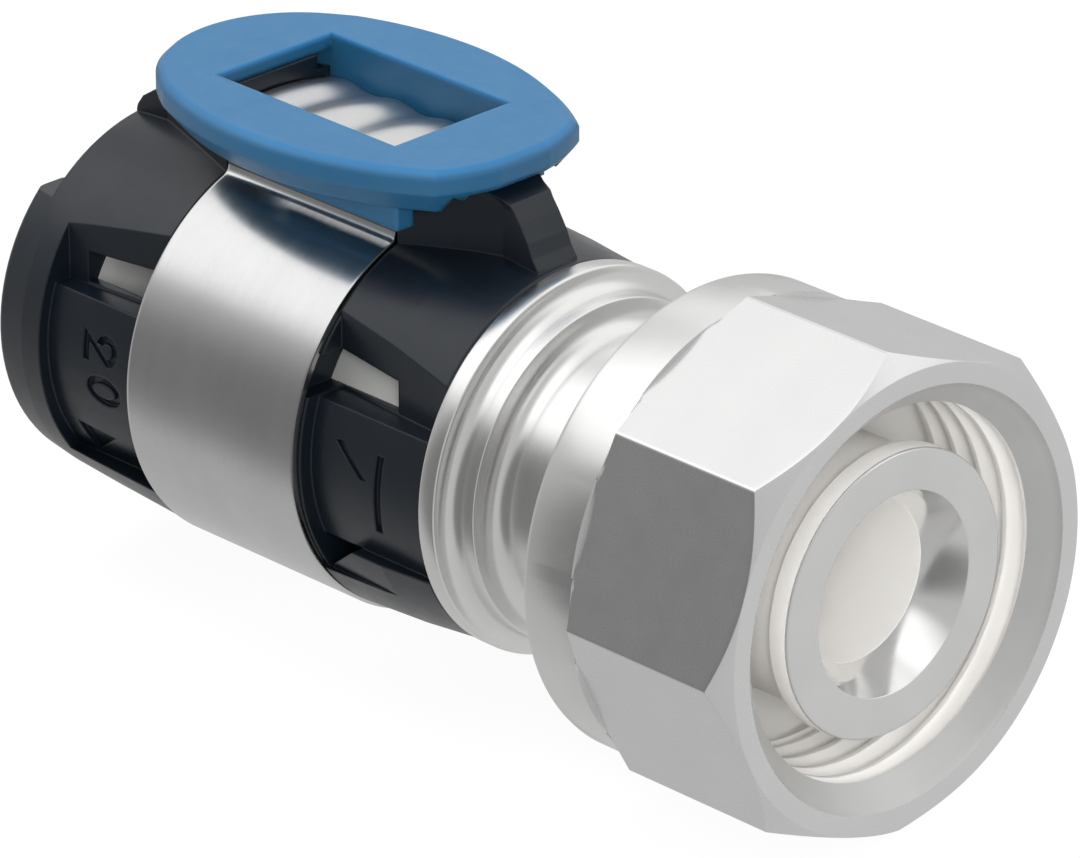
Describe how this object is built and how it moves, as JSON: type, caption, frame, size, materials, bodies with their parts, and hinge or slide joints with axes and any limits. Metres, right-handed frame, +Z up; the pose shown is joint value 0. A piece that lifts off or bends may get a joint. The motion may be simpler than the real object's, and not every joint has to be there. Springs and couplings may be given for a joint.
{
  "type": "union nut connector",
  "caption": "Straight press adaptor for 20 mm multilayer pipe, with a flat sealed tail, an octagonal G 3/4 union nut, a clamp and a blue press indicator",
  "frame": {"origin": "centre of the tail's sealing face", "axes": "+X along the bore, out of the sealing face; +Z up, towards the clamp's ear and the indicator; pipe enters from -X"},
  "size_m": [0.0683, 0.0324, 0.0354],
  "materials": {
    "plated_brass": "satin",
    "stainless": "brushed",
    "black_plastic": "matte",
    "blue_plastic": "satin",
    "pale_plastic": "satin",
    "seal_rubber": "matte",
    "ring_steel": "satin"
  },
  "bodies": {
    "fitting": {"fitting_body": "plated_brass", "front_o_ring": "seal_rubber", "rear_o_ring": "seal_rubber", "stop_ring": "pale_plastic", "press_sleeve": "black_plastic", "press_strap": "stainless"},
    "carrier": {"slip_ring": "ring_steel"},
    "nut": {"union_nut": "plated_brass"},
    "indicator": {"press_indicator": "blue_plastic"}
  },
  "joints": [
    {"name": "nut_slide", "type": "slide", "parent": "fitting", "child": "carrier", "axis": [1, 0, 0], "range_m": [0, 0.01]},
    {"name": "nut_spin", "type": "hinge", "parent": "carrier", "child": "nut", "pos_m": [0, 0, 0], "axis": [1, 0, 0], "continuous": true},
    {"name": "indicator_lift", "type": "slide", "parent": "fitting", "child": "indicator", "axis": [0, 0, 1], "range_m": [0, 0.012]}
  ]
}
